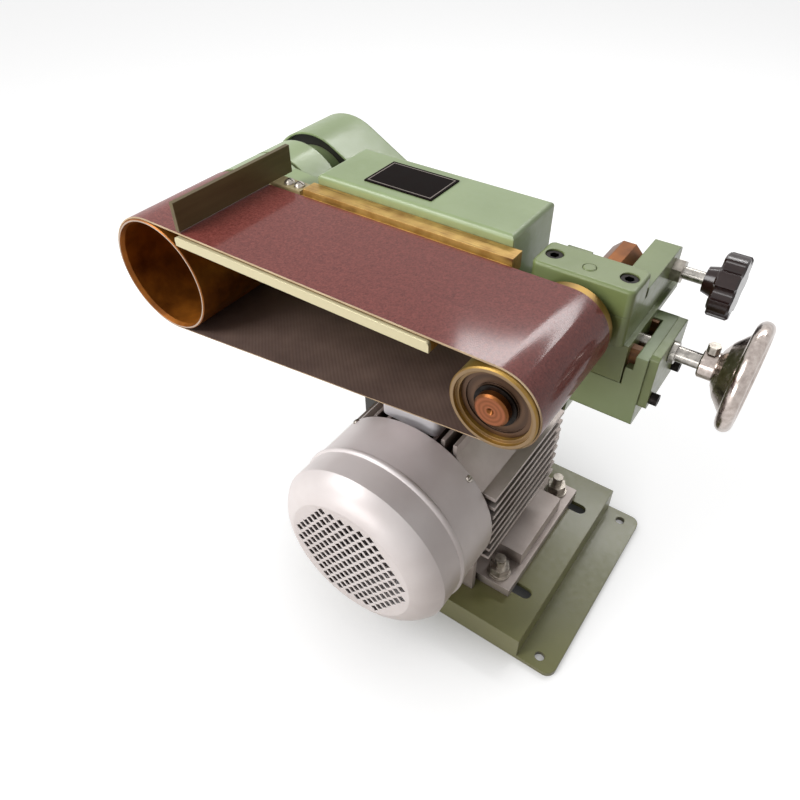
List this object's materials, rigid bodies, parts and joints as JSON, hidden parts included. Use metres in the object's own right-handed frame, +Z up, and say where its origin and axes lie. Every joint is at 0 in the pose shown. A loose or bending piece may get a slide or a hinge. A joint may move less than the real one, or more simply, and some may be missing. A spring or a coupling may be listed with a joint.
{
  "type": "bench belt sander",
  "caption": "Bench belt sander: motor-driven drum, sanding belt over a platen on a tilting cast arm, with handwheel tension, knob tracking and a belt guard.",
  "frame": {"origin": "middle of the four bench bolt holes, on the bench plane", "axes": "+X from the drive drum towards the handwheel, +Y from the drum's open end towards the drive guard, +Z up"},
  "size_m": [0.521, 0.321, 0.363],
  "materials": {
    "green_enamel": "sprayed gloss enamel over cast iron and sheet steel, worn at the edges",
    "dark_enamel": "dark primer on sheet steel",
    "bright_steel": "turned and ground steel",
    "oiled_steel": "rolled steel with a brown oil film",
    "black_screws": "black oxide",
    "zinc_screws": "zinc plate",
    "bearing_steel": "ground, with dark shields",
    "axle_steel": "copper-brown oil film",
    "drum_metal": "turned, browned inside",
    "motor_alloy": "bead-blasted die casting",
    "motor_cowl": "silver paint on pressed steel",
    "terminal_alloy": "pale grey paint",
    "laminations": "varnished stack",
    "black_rubber": "matt",
    "grit_belt": "brown-red aluminium oxide on cloth",
    "fan_plastic": "moulded",
    "gland_plastic": "moulded",
    "orange_plastic": "moulded",
    "green_button": "moulded",
    "red_button": "moulded",
    "knob_plastic": "dark phenolic moulding",
    "wheel_chrome": "polished plate",
    "nameplate_metal": "blank plate, dark screen coat"
  },
  "bodies": {
    "frame": {"base_plate": "green_enamel", "pedestal": "green_enamel", "pedestal_bolts": "zinc_screws", "pedestal_clamp_screw": "black_screws", "motor_housing": "motor_alloy", "motor_end_shield": "motor_alloy", "motor_rear_shield": "motor_alloy", "motor_bearings": "bearing_steel", "stator": "laminations", "fan_cover": "motor_cowl", "motor_foot_bolts": "zinc_screws", "terminal_box": "terminal_alloy", "terminal_box_lid": "terminal_alloy", "cable_gland": "gland_plastic", "motor_lead": "black_rubber", "lead_grommet": "black_rubber", "v_belt": "black_rubber", "guard_cover": "green_enamel", "guard_back_plate": "dark_enamel", "guard_screws": "zinc_screws", "spindle_housing": "green_enamel", "spindle_bearings": "bearing_steel"},
    "motor_rotor": {"rotor": "bright_steel", "cooling_fan": "fan_plastic", "motor_pulley": "bright_steel"},
    "drum_spindle": {"spindle": "bright_steel", "drive_drum": "drum_metal", "drum_nut": "oiled_steel", "spindle_pulley": "bright_steel"},
    "arm": {"arm_casting": "green_enamel", "arm_clamp_screw": "black_screws", "platen": "oiled_steel", "platen_screws": "black_screws", "work_rest": "oiled_steel", "work_rest_screws": "zinc_screws", "nameplate": "nameplate_metal", "switch_plate": "orange_plastic", "switch_screws": "zinc_screws", "guide_bar": "green_enamel", "gib_strip": "oiled_steel", "gib_screws": "zinc_screws", "end_plate": "green_enamel", "end_plate_screws": "black_screws", "abrasive_belt": "grit_belt"},
    "start": {"start_button": "green_button"},
    "stop": {"stop_button": "red_button"},
    "wheel": {"tension_screw": "bright_steel", "handwheel": "wheel_chrome", "wheel_set_screw": "zinc_screws"},
    "slide": {"tension_slide": "green_enamel", "cap_block": "green_enamel", "cap_screws": "black_screws", "pivot_pin": "bright_steel", "lock_nut": "zinc_screws"},
    "track": {"tracking_screw": "bright_steel"},
    "knob": {"star_knob": "knob_plastic"},
    "axle": {"idler_axle": "axle_steel", "snap_rings": "black_screws"},
    "idler": {"idler_roller": "oiled_steel", "idler_bearings": "bearing_steel"}
  },
  "joints": [
    {"name": "motor_spin", "type": "hinge", "parent": "frame", "child": "motor_rotor", "pos_m": [-0.007, 0, 0.13], "axis": [0, 1, 0], "continuous": true},
    {"name": "drum_spin", "type": "hinge", "parent": "frame", "child": "drum_spindle", "pos_m": [-0.243, 0, 0.285], "axis": [0, 1, 0], "continuous": true},
    {"name": "arm_tilt", "type": "hinge", "parent": "frame", "child": "arm", "pos_m": [-0.243, 0, 0.285], "axis": [0, -1, 0], "range_deg": [0, 90]},
    {"name": "start_press", "type": "slide", "parent": "arm", "child": "start", "axis": [0, -1, 0], "range_m": [0, 0.003], "stiffness_N_per_m": 400},
    {"name": "stop_press", "type": "slide", "parent": "arm", "child": "stop", "axis": [0, -1, 0], "range_m": [0, 0.003], "stiffness_N_per_m": 400},
    {"name": "wheel_turn", "type": "hinge", "parent": "arm", "child": "wheel", "pos_m": [0.2, 0.034, 0.278], "axis": [1, 0, 0], "range_deg": [0, 961]},
    {"name": "slide_travel", "type": "slide", "parent": "arm", "child": "slide", "axis": [1, 0, 0], "range_m": [-0.008, 0], "deforming": ["abrasive_belt"]},
    {"name": "track_feed", "type": "slide", "parent": "slide", "child": "track", "axis": [1, 0, 0], "range_m": [0, 0.00226]},
    {"name": "knob_turn", "type": "hinge", "parent": "track", "child": "knob", "pos_m": [0.15, 0.093, 0.3087], "axis": [1, 0, 0], "range_deg": [0, 541]},
    {"name": "axle_swing", "type": "hinge", "parent": "slide", "child": "axle", "pos_m": [0.079, 0.011, 0.3042], "axis": [0, 0, -1], "range_deg": [0, 1.57]},
    {"name": "idler_spin", "type": "hinge", "parent": "axle", "child": "idler", "pos_m": [0.079, -0.068, 0.3042], "axis": [0, 1, 0], "continuous": true}
  ],
  "couplings": [
    {"joint": "drum_spin", "follows": "motor_spin", "ratio": 1.25},
    {"joint": "idler_spin", "follows": "motor_spin", "ratio": 2.0047},
    {"joint": "wheel_turn", "follows": "slide_travel", "rad_per_m": -2094.4},
    {"joint": "track_feed", "follows": "axle_swing", "m_per_rad": 0.08199},
    {"joint": "knob_turn", "follows": "axle_swing", "ratio": 343.44}
  ]
}
